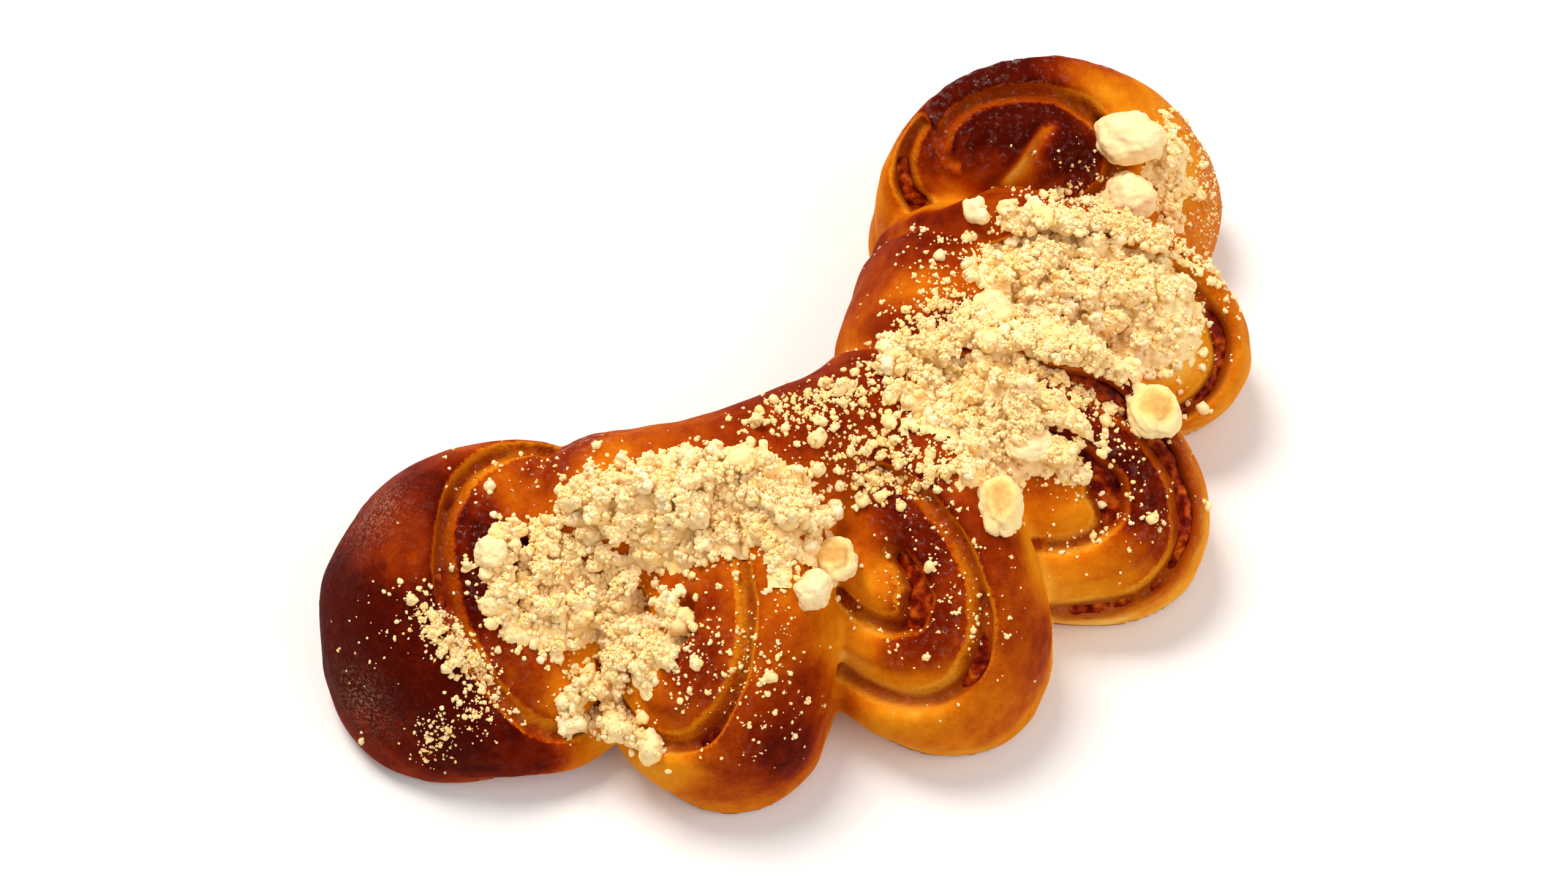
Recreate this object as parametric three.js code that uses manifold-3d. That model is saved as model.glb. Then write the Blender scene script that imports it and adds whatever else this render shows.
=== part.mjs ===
// A sweet yeast bun: a roll of dough spread with jam, snipped from its outer side into six
// slices, bent into a crescent and fanned out so that the spiral cut faces turn upwards.
// Millimetres, Z up, standing on the plane z = 0.
import * as THREE from 'three';
import { mergeVertices } from 'three/addons/utils/BufferGeometryUtils.js';
import Module from 'manifold-3d';

const wasm = await Module();
wasm.setup();

// ---- driving dimensions ---------------------------------------------------------------
const CENTRE = [3.25, -5.45]; // plan point of the layout below that becomes the origin
const AROUND = 22; // facets round a slice
const TURN = 14; // steps in one turn of the fold between the layers

// One slice: root and tip are the ends of the long axis of its cut face, width is across the
// face and blunt how much squarer its root end is, lean turns the face from steep at the root
// towards lying flat at the tip (over 90 degrees leans the other way), skew is how far the
// underside lies behind the face, dome is how far the middle has puffed up and pop how far its
// core stands out of that, arch lifts the middle of the long axis, core is where the middle of
// the layers lies along and across the face, from the face's own middle. The jam spiral has
// turns from the first to the last given, counted from the root side, fold is its radius share
// at no turn and what it gains in a turn, and drift how far it has slid across at the tip.
const SLICES = [
  { name: 'f', root: [18.5, 36.5, 27], tip: [86, 44, 23], width: 52, blunt: 0.05,
    lean: [40, 60], skew: 6, dome: 4, pop: 6, arch: 4, core: [-12.5, 14], fold: [-0.02, 0.31],
    turns: [0.8, 2.1], drift: 0 },
  { name: 'e', root: [17, 13.5, 27], tip: [88, 5, 23], width: 47, blunt: 0.2, lean: [42, 60],
    skew: 9, dome: 3, pop: 0, arch: 4, core: [0, 0], fold: [-0.1, 0.58], turns: [0.5, 1.8],
    drift: 0 },
  { name: 'd', root: [12, -10, 27], tip: [75, -34.5, 20], width: 51, blunt: 0.2, lean: [42, 62],
    skew: 7, dome: 4, pop: 0, arch: 4, core: [0, 0], fold: [0.15, 0.46],
    turns: [0.25, 1.75], drift: 0 },
  { name: 'c', root: [2, -16, 26], tip: [32.5, -67.5, 19], width: 50, blunt: 0.2, lean: [44, 60],
    skew: 8, dome: 4, pop: 0, arch: 4, core: [0, 0], fold: [0.03, 0.43],
    turns: [0.4, 1.9], drift: 3 },
  { name: 'b', root: [-21, -18, 28], tip: [-14.5, -77.5, 18], width: 47, blunt: 0.3,
    lean: [60, 60], skew: 7, dome: 4, pop: 0, arch: 4, core: [0, 0], fold: [-0.07, 0.5],
    turns: [0.4, 1.9], drift: 0 },
  { name: 'a', root: [-38, -17, 28], tip: [-49, -73.5, 13], width: 58, blunt: 0,
    lean: [120, 122], skew: 16, dome: 3, pop: 0, arch: 4, core: [0, 0], fold: [-0.2, 0.53],
    turns: [0.6, 2], drift: 10 },
];
const SPREAD = 15; // how much further apart the folds lie towards the tips of a face
const CORE = 0.34; // radius share of a core that stands out
const EDGE = 0.6; // how far the edge of a face lies under its plane
const UNDER = -0.6; // where the undersides end before the table cuts them flat

// Profile of a slice from the middle of its face over the bulging rim to its underside: share
// of the radius, share of the way down to the table, and millimetres more in depth.
const RIM = [[0, 0, 0], [0.3, 0, 0], [0.5, 0, 0], [0.85, 0, 0.4], [1.0, 0.08, 1.4],
  [1.07, 0.35, 1], [1.07, 0.6, 0.4], [0.95, 1, 0], [0, 1, 0]];

const GROW = 20; // about the least radius of a face, by which a margin is turned into a share

const JAM = 1.6; // thickness of the jam sheet along the sides
const POCKET = 0.9; // how much thicker it is to each side where it turns at the tip
const GAP = 0.3; // clearance between the jam and the dough
const FLOOR = 3.5; // dough left under the jam
const SINK = 4.4; // how far the jam lies below the shoulders of the dough
const DEEP = 10; // depth under the face from which the fold goes straight down to its floor
const SHOULDER = [[0, -5.4], [1.5, -2.6], [3.3, -0.7], [3.6, 7]]; // half outline over the jam

// The uncut back of the roll, along its middle line: x, y, half width, top.
const BACK = [[-46, -33, 13, 31], [-32, -29, 16, 39], [-15, -27, 16.5, 41], [6, -19, 16, 42],
  [20, -8, 16, 42], [28, 10, 17, 42], [31, 24, 16, 40], [33, 36, 12, 30]];
const BACK_SLOPE = 0.35; // how much lower the back is on the side of the slices
const BACK_LAP = 1.35; // how much further it reaches to that side
const BACK_SINK = 3; // how far its round underside is cut off by the table
const BACK_ROUND = 9; // facets round half of it
const BACK_STEPS = 16; // even steps along it
const CREASES = [[0.6, 0], [0.84, 0.05]]; // shares of the back where slices part, and slant
const CREASE_DEEP = 0.12; // how deep those are, as a share of the back's size
const CREASE_WIDE = 0.022; // half width, as a share of its length
const SLANT_WIDE = 0.1; // how far along the back the slant fades out, as a share of its length

const LIP = 0.8; // how far a fold is cut into what stands over the slice
const CRUMB = 40; // cubic millimetres under which a cut-off bit is left out

// Lumps of streusel on top: plan point, half sizes and turn in degrees.
const LUMPS = [
  { at: [66.5, -13.5], half: [5.6, 5.4, 3.2], turn: 20 },
  { at: [66.5, 47], half: [7.2, 5.6, 4.2], turn: 15 },
  { at: [67, 37.5], half: [5.5, 5.2, 4.4], turn: -25 },
  { at: [37.5, -35], half: [4.3, 5.8, 4.2], turn: 10 },
  { at: [8.5, -42.5], half: [4, 4, 3.8], turn: 0 },
  { at: [5, -49.5], half: [3.6, 3.6, 3.4], turn: 40 },
  { at: [43.5, -21], half: [4.4, 3.8, 2.8], turn: 5 },
  { at: [-51, -42], half: [3.1, 3.1, 2.8], turn: 0 },
  { at: [37.5, 6], half: [4.3, 3.1, 2.7], turn: -10 },
];
const LUMP_UNEVEN = 0.1; // how far a lump departs from an ellipsoid, as a share of its size
const LUMP_PRESS = 0.55; // share of its half height that a lump is pressed into what it lies on
const LUMP_FOOT = 0.7; // share of its size within which it rests, felt on so many sides:
const LUMP_SIDES = 8;

const CRUST = { color: 0xa8541c, roughness: 0.45 };
const FILLING = { color: 0x8c1e08, roughness: 0.25 };
const STREUSEL = { color: 0xf6c463, roughness: 0.8 };

const WELD = 1e-3; // distance under which two vertices are one
const DEGREE = Math.PI / 180;
const mix = (a, b, k) => a + (b - a) * k;

// ---- solids ---------------------------------------------------------------------------
// Moves every vertex of a geometry to where the map puts it, and makes a solid of it.
function bent(geometry, map) {
  const at = geometry.getAttribute('position');
  for (let i = 0; i < at.count; i += 1) {
    const point = map(at.getX(i), at.getY(i), at.getZ(i));
    at.setXYZ(i, point.x, point.y, point.z);
  }
  return solid(geometry);
}

// Welds a geometry, drops the empty triangles at its poles and faces it outwards.
function solid(geometry) {
  const bare = new THREE.BufferGeometry();
  bare.setAttribute('position', geometry.getAttribute('position'));
  bare.setIndex(geometry.index);
  const welded = mergeVertices(bare, WELD);
  const faces = [];
  for (let i = 0; i < welded.index.count; i += 3) {
    const [a, b, c] = [0, 1, 2].map((k) => welded.index.getX(i + k));
    if (a !== b && b !== c && c !== a) faces.push([a, b, c]);
  }
  const vertProperties = welded.getAttribute('position').array;
  const make = (order) => new wasm.Manifold(new wasm.Mesh({
    numProp: 3, vertProperties, triVerts: new Uint32Array(faces.map(order).flat()),
  }));
  const shape = make((f) => f);
  return shape.volume() > 0 ? shape : make(([a, b, c]) => [a, c, b]);
}

// The geometry of a solid.
function geometryOf(shape) {
  const mesh = shape.getMesh();
  const geometry = new THREE.BufferGeometry();
  geometry.setAttribute('position', new THREE.BufferAttribute(mesh.vertProperties, 3));
  geometry.setIndex(new THREE.BufferAttribute(mesh.triVerts, 1));
  return geometry;
}

// The largest of the pieces that a cut has left.
const largest = (shape) => shape.decompose().reduce((a, b) => (b.volume() > a.volume() ? b : a));

// Moves a solid from the layout below to the part's own frame.
const centred = (shape) => shape.translate([-CENTRE[0], -CENTRE[1], 0]);

// Welds a cut solid until nothing comes loose from it any more, and keeps its main body.
function settled(shape) {
  let clean = largest(shape);
  for (let i = 0; i < 4; i += 1) {
    clean = largest(solid(geometryOf(clean)));
  }
  return clean;
}

// A solid cut back from another that it lies on or in.
const clearOf = (shape, under) => shape.subtract(under).subtract(under.translate([0, 0, GAP]));

// ---- the shape of one slice -----------------------------------------------------------
// Plan length of the cut face.
const reach = (s) => Math.hypot(s.tip[0] - s.root[0], s.tip[1] - s.root[1]);

// Point of the face at a share of its radius and an angle round its middle.
function onFace(s, share, angle) {
  const half = reach(s) / 2;
  const along = half * share + SPREAD * share * (1 - share);
  const blunt = 1 + s.blunt * Math.max(0, -Math.cos(angle));
  const u = half + along * Math.cos(angle) + s.core[0] * (1 - share);
  const w = (s.width / 2) * share * Math.sin(angle) * blunt + s.core[1] * (1 - share);
  return [u, w];
}

// Height of the puffed-up face over its flat plane.
function puff(s, share) {
  const core = Math.sqrt(Math.max(0, 1 - (share / CORE) ** 2));
  return s.dome * (1 - share * share) - EDGE * share + s.pop * core;
}

// Places a point of the slice: u along its face, w across it, h up from its plane, and down
// the share of the way to the table.
function place(s, u, w, h, down = 0) {
  const k = u / reach(s);
  const heading = Math.atan2(s.tip[1] - s.root[1], s.tip[0] - s.root[0]);
  const side = new THREE.Vector3(-Math.sin(heading), Math.cos(heading), 0);
  const lean = mix(s.lean[0], s.lean[1], k) * DEGREE;
  const across = side.clone().multiplyScalar(Math.sin(lean)).setZ(Math.cos(lean));
  const out = side.clone().multiplyScalar(-Math.cos(lean)).setZ(Math.sin(lean));
  const point = new THREE.Vector3(...s.root).lerp(new THREE.Vector3(...s.tip), k);
  point.z += s.arch * 4 * k * (1 - k);
  point.addScaledVector(across, w).addScaledVector(out, h);
  const behind = Math.sign(Math.cos(lean)) * s.skew * (1 - (1 - down) ** 2);
  point.addScaledVector(side, behind);
  point.z = mix(point.z, UNDER, down);
  return point;
}

// The whole slice without its folds, grown all round by a margin.
function puck(s, margin = 0) {
  const profile = RIM.map(([share], i) => new THREE.Vector2(share, RIM.length - i));
  const lathe = new THREE.LatheGeometry(profile, AROUND);
  return bent(lathe, (x, y, z) => {
    const [share, down, more] = RIM[RIM.length - y];
    const [u, w] = onFace(s, share * (1 + margin / GROW), Math.atan2(z, x));
    const top = down > 0 ? -EDGE : puff(s, share);
    return place(s, u, w, top - more + margin, down);
  });
}

// ---- the fold between the layers ------------------------------------------------------
// Share of the radius and the angle of the fold after some turns from the root side.
const fold = (s, turns) => [s.fold[0] + s.fold[1] * turns, 2 * Math.PI * (0.5 - turns)];

// Along and across the face for some turns of the fold.
function foldLine(s, turns) {
  const [u, w] = onFace(s, ...fold(s, turns));
  return [u, w + s.drift * (u / reach(s)) ** 2];
}

// Half thickness of the jam, which has gathered where the fold turns at the tip.
const jamHalf = (turns) => JAM / 2 + POCKET * Math.max(0, -Math.cos(2 * Math.PI * turns)) ** 3;

// Turns at which the fold is worked out, from its start to its end.
function stations(s) {
  const steps = Math.round((s.turns[1] - s.turns[0]) * TURN);
  return Array.from({ length: steps + 1 }, (_, i) => mix(s.turns[0], s.turns[1], i / steps));
}

// Bends a straight bar along a stretch of the fold. The bar's outline runs across the fold in
// x and up from the face in y; what lies below DEEP ends on the given floor.
function curl(s, outline, stretch, floor, widen) {
  const steps = stretch.length - 1;
  const bar = new THREE.ExtrudeGeometry(outline, { depth: 1, steps, bevelEnabled: false });
  return bent(bar, (x, y, z) => {
    const turns = stretch[Math.round(z * steps)];
    const [u, w] = foldLine(s, turns);
    const [ua, wa] = foldLine(s, turns - 0.01);
    const [ub, wb] = foldLine(s, turns + 0.01);
    const long = Math.hypot(ub - ua, wb - wa);
    const off = x + Math.sign(x) * widen(turns);
    const h = puff(s, fold(s, turns)[0]) + Math.max(y, -DEEP);
    const point = place(s, u + ((wb - wa) / long) * off, w - ((ub - ua) / long) * off, h);
    if (y < -DEEP) point.z = Math.min(point.z, floor);
    return point;
  });
}

// The fold in pieces of half a turn, because a longer one could run into itself.
function fillFold(s, outline, ends, floor, widen) {
  const all = stations(s).slice(ends, stations(s).length - ends);
  const half = Math.round(TURN / 2);
  let whole = null;
  for (let i = 0; i + 1 < all.length; i += half) {
    const piece = curl(s, outline, all.slice(i, i + half + 1), floor, widen);
    whole = whole ? whole.add(piece) : piece;
  }
  return whole.trimByPlane([0, 0, 1], floor);
}

const outlineOf = (points) => new THREE.Shape(points.map(([x, y]) => new THREE.Vector2(x, y)));
const LINE = 0.01; // half width of an outline before it is widened

function channel(s) {
  const right = [[LINE, -DEEP - 1], ...SHOULDER.map(([x, y]) => [x + LINE, y])];
  const left = right.map(([x, y]) => [-x, y]).reverse();
  return fillFold(s, outlineOf([...right, ...left]), 0, FLOOR, (turns) => jamHalf(turns) + GAP);
}

function jam(s) {
  const outline = outlineOf([[LINE, -DEEP - 1], [LINE, -SINK - 1], [0, -SINK],
    [-LINE, -SINK - 1], [-LINE, -DEEP - 1]]);
  return fillFold(s, outline, 1, FLOOR + GAP, jamHalf);
}

// ---- the uncut back -------------------------------------------------------------------
// Shares of the length at which the back has a section: evenly, and close by the creases.
function sections() {
  const even = Array.from({ length: BACK_STEPS + 1 }, (_, i) => i / BACK_STEPS);
  const near = [-1.6, -0.8, 0, 0.8, 1.6].map((k) => k * CREASE_WIDE);
  const close = CREASES.flatMap(([at]) => near.map((off) => at + off));
  const apart = even.filter((e) => close.every((c) => Math.abs(c - e) > CREASE_WIDE));
  return [...apart, ...close].sort((a, b) => a - b);
}

const bell = (distance, wide) => Math.exp(-((distance / wide) ** 2));

// The roll along its middle line, grown all round by a margin.
function back(margin = 0) {
  const line = new THREE.CatmullRomCurve3(BACK.map(([x, y]) => new THREE.Vector3(x, y, 0)));
  const sizes = new THREE.CatmullRomCurve3(BACK.map(([, , w, t]) => new THREE.Vector3(w, t, 0)));
  const round = new THREE.Shape().absellipse(0, 0, 1, 1, 0, 2 * Math.PI);
  const shares = sections();
  const steps = shares.length - 1;
  const bar = new THREE.ExtrudeGeometry(round, {
    depth: 1, steps, bevelEnabled: false, curveSegments: BACK_ROUND,
  });
  return bent(bar, (x, y, z) => {
    const share = shares[Math.round(z * steps)];
    const slant = CREASES.reduce((sum, [at, lean]) => sum + lean * bell(share - at, SLANT_WIDE), 0);
    const fade = Math.min(1, 4 * share, 4 * (1 - share));
    const along = share + slant * fade * Math.max(0, x);
    const middle = line.getPoint(along);
    const tangent = line.getTangent(along);
    const size = sizes.getPoint(along);
    const dip = CREASES.reduce((sum, [at]) => sum + bell(share - at, CREASE_WIDE), 0);
    const shrunk = 1 - CREASE_DEEP * dip;
    const high = (size.y + BACK_SINK) / 2;
    const off = x * (size.x * shrunk + margin) * (x < 0 ? BACK_LAP : 1);
    const slope = y > 0 ? 1 - BACK_SLOPE * Math.max(0, -x) ** 2 : 1;
    const up = (high - BACK_SINK + (high * shrunk + margin) * y) * slope;
    return new THREE.Vector3(middle.x - tangent.y * off, middle.y + tangent.x * off, up);
  });
}

// ---- the lumps of streusel -------------------------------------------------------------
// An uneven ball at its place on the dough, as low as the slopes round it let it sink.
function lump({ at, half, turn }, dough) {
  const up = new THREE.Vector3(0, 0, 1);
  const middle = new THREE.Vector3(at[0] - CENTRE[0], at[1] - CENTRE[1], 0);
  const ground = new THREE.Mesh(geometryOf(dough));
  const restOn = (k, angle) => {
    const side = new THREE.Vector3(half[0] * k * Math.cos(angle), half[1] * k * Math.sin(angle), 100);
    const above = side.applyAxisAngle(up, turn * DEGREE).add(middle);
    const hits = new THREE.Raycaster(above, up.clone().negate()).intersectObject(ground);
    return (hits.length ? hits[0].point.z : 0) + half[2] * Math.sqrt(1 - k * k);
  };
  const sides = Array.from({ length: LUMP_SIDES }, (_, i) => (2 * Math.PI * i) / LUMP_SIDES);
  const rest = Math.max(restOn(0, 0), ...sides.map((angle) => restOn(LUMP_FOOT, angle)));
  middle.z = rest - LUMP_PRESS * half[2];
  const ball = new THREE.IcosahedronGeometry(1, 1);
  return bent(ball, (i, j, k) => {
    const wave = Math.sin(3 * i + middle.x) * Math.cos(3 * j + middle.y);
    const uneven = 1 + LUMP_UNEVEN * (wave - k * k);
    const point = new THREE.Vector3(i * half[0], j * half[1], k * half[2]).multiplyScalar(uneven);
    return point.applyAxisAngle(up, turn * DEGREE).add(middle);
  });
}

// ---- putting it together --------------------------------------------------------------
const uncut = back();
const aroundUncut = back(GAP);
let body = uncut;
const jams = [];
for (const s of SLICES) {
  const whole = puck(s);
  const grown = puck(s, GAP);
  body = body.add(whole).subtract(channel(s).intersect(puck(s, LIP)).subtract(uncut));
  jams.forEach((j) => { j.shape = j.shape.subtract(grown); });
  jams.push({ name: `jam_${s.name}`, shape: jam(s).subtract(aroundUncut) });
}
const dough = settled(centred(body.trimByPlane([0, 0, 1], 0)));
const parts = [{ name: 'dough', shape: dough, ...CRUST }];
for (const j of jams) {
  const pieces = clearOf(centred(j.shape), dough).decompose().filter((p) => p.volume() > CRUMB);
  pieces.sort((p, q) => q.volume() - p.volume());
  pieces.forEach((piece, i) => {
    parts.push({ name: `${j.name}_${i + 1}`, shape: settled(piece), ...FILLING });
  });
}
const below = parts.map((part) => part.shape);
LUMPS.forEach((one, i) => {
  const shape = settled(below.reduce(clearOf, lump(one, dough)));
  parts.push({ name: `lump_${i + 1}`, shape, ...STREUSEL });
});

const group = new THREE.Group();
for (const { name, shape, color, roughness } of parts) {
  const geometry = geometryOf(shape);
  geometry.computeVertexNormals();
  const material = new THREE.MeshStandardMaterial({ color, roughness, metalness: 0 });
  const made = new THREE.Mesh(geometry, material);
  made.name = name;
  group.add(made);
}

export default group;
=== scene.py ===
from math import atan2, cos, hypot, pi, radians, sin

import bmesh
import bpy
import numpy as np
from mathutils import Matrix, Vector, noise
from mathutils.bvhtree import BVHTree
from mathutils.kdtree import KDTree


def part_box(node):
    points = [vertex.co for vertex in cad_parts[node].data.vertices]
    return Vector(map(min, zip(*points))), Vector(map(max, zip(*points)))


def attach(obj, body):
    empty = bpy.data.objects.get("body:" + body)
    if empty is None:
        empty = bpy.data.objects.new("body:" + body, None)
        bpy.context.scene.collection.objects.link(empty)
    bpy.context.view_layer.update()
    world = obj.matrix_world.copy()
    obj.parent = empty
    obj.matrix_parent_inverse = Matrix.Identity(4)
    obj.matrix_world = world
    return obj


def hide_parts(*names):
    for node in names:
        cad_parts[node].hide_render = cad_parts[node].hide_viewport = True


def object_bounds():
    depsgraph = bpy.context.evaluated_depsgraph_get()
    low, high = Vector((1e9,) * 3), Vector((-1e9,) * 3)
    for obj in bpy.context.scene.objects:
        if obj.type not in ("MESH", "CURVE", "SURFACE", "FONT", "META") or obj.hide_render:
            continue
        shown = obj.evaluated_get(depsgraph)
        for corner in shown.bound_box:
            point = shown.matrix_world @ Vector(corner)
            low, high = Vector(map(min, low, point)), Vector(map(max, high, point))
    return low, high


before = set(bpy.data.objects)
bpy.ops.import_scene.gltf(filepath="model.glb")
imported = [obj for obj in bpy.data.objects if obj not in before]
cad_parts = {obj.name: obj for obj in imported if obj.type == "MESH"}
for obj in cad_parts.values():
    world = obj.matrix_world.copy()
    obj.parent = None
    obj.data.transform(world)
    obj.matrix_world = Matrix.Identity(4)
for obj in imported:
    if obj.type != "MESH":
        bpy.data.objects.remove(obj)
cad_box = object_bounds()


# ==== The dough ===========================================================================
# A roll of sweet yeast dough, snipped from its outer side into six slices and fanned out in a
# crescent: each slice leans on the next and shows its spiral. It has risen, so every edge is
# round, and an egg wash has browned it unevenly, darkest where it bulges, pale in the folds.
MM = 0.001
MIDDLE = np.array([3.25, -5.45, 0])  # layout point, in millimetres, that is the part's origin

# One slice: root and tip are the ends of the long axis of its cut face, width is across the
# face and blunt how much squarer its root end is. Lean turns the face from steep at the root
# towards lying flat at the tip, over 90 degrees the other way, and skew is how far the underside
# lies behind the face. Dome is how far the middle has puffed up, pop how far its core stands out
# of that, and core where the middle of the layers lies, along and across the face. The spiral of
# layers has turns from the first to the last given, counted from the root side. Fold is its
# radius share at no turn and what it gains in a turn, and drift how far it slid at the tip.
SLICES = {
    "f": dict(root=(18.5, 36.5, 27), tip=(86, 44, 23), width=52, blunt=0.05, lean=(40, 60), skew=6,
              dome=4, pop=5, core=(-12.5, 14), fold=(-0.02, 0.31), turns=(0.9, 2.1), drift=0),
    "e": dict(root=(17, 13.5, 27), tip=(88, 5, 23), width=47, blunt=0.2, lean=(42, 60), skew=9,
              dome=3, pop=0, core=(0, 0), fold=(-0.1, 0.58), turns=(0.5, 1.8), drift=0),
    "d": dict(root=(12, -10, 27), tip=(75, -34.5, 20), width=51, blunt=0.2, lean=(42, 62), skew=7,
              dome=4, pop=0, core=(0, 0), fold=(0.15, 0.46), turns=(0.25, 1.75), drift=0),
    "c": dict(root=(2, -16, 26), tip=(32.5, -67.5, 19), width=50, blunt=0.2, lean=(44, 60), skew=8,
              dome=4, pop=0, core=(0, 0), fold=(0.03, 0.43), turns=(0.2, 1.9), drift=3),
    "b": dict(root=(-21, -18, 28), tip=(-14.5, -77.5, 18), width=47, blunt=0.3, lean=(60, 60),
              skew=7, dome=4, pop=0, core=(0, 0), fold=(-0.07, 0.5), turns=(0.3, 1.9), drift=0),
    "a": dict(root=(-38, -17, 28), tip=(-49, -73.5, 13), width=58, blunt=0, lean=(120, 122),
              skew=16, dome=3, pop=0, core=(0, 0), fold=(-0.2, 0.53), turns=(0.6, 2), drift=10),
}
ARCH = 4  # how far the middle of each face is lifted
SPREAD = 15  # how much further apart the folds lie towards the tips of a face
CORE = 0.34  # radius share of a core that stands out
EDGE = 0.6  # how far the edge of a face lies under its plane
UNDER = -0.6  # where the undersides end before the table cuts them flat
LEAST_RADIUS = 20  # about the least of a face, by which a margin is turned into a share
# Profile of a slice from the middle of its face over the bulging rim to its underside: share of
# the radius, share of the way down to the table, and millimetres more in depth.
RIM = [(0, 0, 0), (0.3, 0, 0), (0.5, 0, 0), (0.85, 0, 0.4), (1.0, 0.08, 1.4), (1.07, 0.35, 1),
       (1.07, 0.6, 0.4), (0.95, 1, 0), (0, 1, 0)]
# Half the outline of a fold where the layers touch, from its bottom out to over the face.
GROOVE = [(0, -8), (0.1, -6), (0.4, -3.6), (1.2, -1.7), (2.6, -0.5), (4, 0), (4.6, 5)]
# How open the fold of each slice is: at its turns, half the opening and how gently its outer
# wall slopes.
OPEN = {
    "a": [(0.6, 0.3, 1), (1.0, 0.8, 1), (1.2, 0.1, 1), (1.5, 0.0, 1), (1.62, 0.3, 1), (1.74, 0.5, 1),
          (1.84, 0.3, 1), (1.93, 0.1, 1), (2.0, 0.0, 1)],
    "b": [(0.3, 0.1, 1), (0.45, 0.3, 1), (0.6, 0.1, 1), (1.2, 0.0, 1), (1.3, 0.1, 1), (1.45, 0.5, 1.2),
          (1.6, 0.2, 1.2), (1.75, 0.0, 1)],
    "c": [(0.2, 0.1, 1), (0.3, 0.9, 1), (0.4, 1.3, 1), (0.5, 1.9, 1), (0.6, 0.5, 1), (0.7, 0.0, 1),
          (1.25, 0.0, 1), (1.35, 0.3, 1), (1.42, 0.9, 1), (1.5, 0.5, 1.4), (1.58, 0.1, 1.4),
          (1.9, 0.0, 1)],
    "d": [(0.25, 0.1, 1), (0.36, 1.3, 1), (0.48, 2.2, 1), (0.6, 0.1, 1), (0.8, 0.0, 1), (1.15, 0.0, 1),
          (1.24, 0.1, 1), (1.3, 1.2, 1.3), (1.38, 0.9, 2.0), (1.46, 0.8, 2.4), (1.53, 0.35, 2.0),
          (1.6, 0.4, 1.6), (1.67, 0.3, 1.4), (1.75, 0.1, 1)],
    "e": [(0.5, 0.3, 1), (0.7, 0.0, 1), (1.3, 0.0, 1), (1.38, 0.3, 1.6), (1.5, 0.7, 1.8), (1.6, 0.6, 1.5),
          (1.7, 0.2, 1.2), (1.8, 0.0, 1)],
    "f": [(0.8, 0.0, 1), (1.0, 0.1, 1), (1.3, 0.1, 1), (1.4, 0.7, 1), (1.5, 0.4, 1), (1.6, 0.0, 1),
          (1.85, 0.4, 1), (1.93, 1.4, 1), (2.0, 1.0, 1), (2.06, 0.2, 1), (2.1, 0.0, 1)],
}
LIP = 0.8  # how far a fold is cut into what stands over the slice
FOLD_PIECE = 0.45  # turns in one piece of a fold: a longer one would run into itself

# The uncut back of the roll, along its middle line: x, y, half width, top.
BACK = [(-46, -33, 13, 31), (-32, -29, 16, 39), (-15, -27, 16.5, 41), (6, -19, 16, 42),
        (20, -8, 16, 42), (28, 10, 17, 42), (31, 24, 16, 40), (33, 36, 12, 30)]
BACK_SLOPE = 0.35  # how much lower the back is on the side of the slices
BACK_LAP = 1.35  # how much further it reaches to that side
BACK_SINK = 3  # how far its round underside is cut off by the table
CREASES = [(0.6, 0), (0.84, 0.05)]  # shares of the back where slices part, and slant
CREASE_DEEP = 0.12  # how deep those are, as a share of the back's size
CREASE_WIDE = 0.022  # half width, as a share of its length
SLANT_WIDE = 0.1  # how far along the back the slant fades out, as a share of its length

AROUND = 96  # steps round a slice
TURN = 56  # steps in a turn of a fold
VOXEL = 0.81  # how fine the skin of the whole bun is


def curve_through(points, at):
    """A smooth curve through the points, at shares from 0 to 1 of its way."""
    points = np.array(points, float)
    last = len(points) - 1
    way = np.clip(at, 0, 1) * last
    i = np.minimum(way.astype(int), last - 1)
    t = (way - i)[:, None]
    ends = np.vstack([2 * points[0] - points[1], points, 2 * points[-1] - points[-2]])
    a, b, c, d = (ends[i + k] for k in range(4))
    return b + t / 2 * (c - a + t * (2 * a - 5 * b + 4 * c - d + t * (3 * b - a - 3 * c + d)))


def reach(s):
    """How long a slice is from root to tip, in plan."""
    return hypot(s["tip"][0] - s["root"][0], s["tip"][1] - s["root"][1])


def on_face(s, share, angle):
    """Along and across the cut face, at a share of its radius and an angle round it."""
    half = reach(s) / 2
    along = half * share + SPREAD * share * (1 - share)
    blunt = 1 + s["blunt"] * np.maximum(0, -np.cos(angle))
    u = half + along * np.cos(angle) + s["core"][0] * (1 - share)
    w = s["width"] / 2 * share * np.sin(angle) * blunt + s["core"][1] * (1 - share)
    return u, w


def puff(s, share):
    """How far the face has puffed up at a share of its radius."""
    core = np.sqrt(np.maximum(0, 1 - (share / CORE) ** 2))
    return s["dome"] * (1 - share ** 2) - EDGE * share + s["pop"] * core


def face_axes(s, u):
    """For places along the face: its middle line, across it, out of it, and level sideways."""
    heading = atan2(s["tip"][1] - s["root"][1], s["tip"][0] - s["root"][0])
    side = np.array([-sin(heading), cos(heading), 0])
    up = np.array([0, 0, 1])
    k = (u / reach(s))[:, None]
    lean = np.radians(s["lean"][0] + (s["lean"][1] - s["lean"][0]) * k)
    line = np.array(s["root"]) + (np.array(s["tip"]) - s["root"]) * k + up * ARCH * 4 * k * (1 - k)
    return line, side * np.sin(lean) + up * np.cos(lean), up * np.sin(lean) - side * np.cos(lean), side


def place(s, u, w, h, down=0.0):
    """The point u along the face, w across it, h up from it, and down the share to the table."""
    line, across, out, side = face_axes(s, u)
    point = line + across * w[:, None] + out * h[:, None]
    down = np.broadcast_to(down, u.shape)
    behind = (1 if s["lean"][0] < 90 else -1) * s["skew"]
    point += side * (behind * (1 - (1 - down) ** 2))[:, None]
    point[:, 2] += (UNDER - point[:, 2]) * down
    return point


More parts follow.
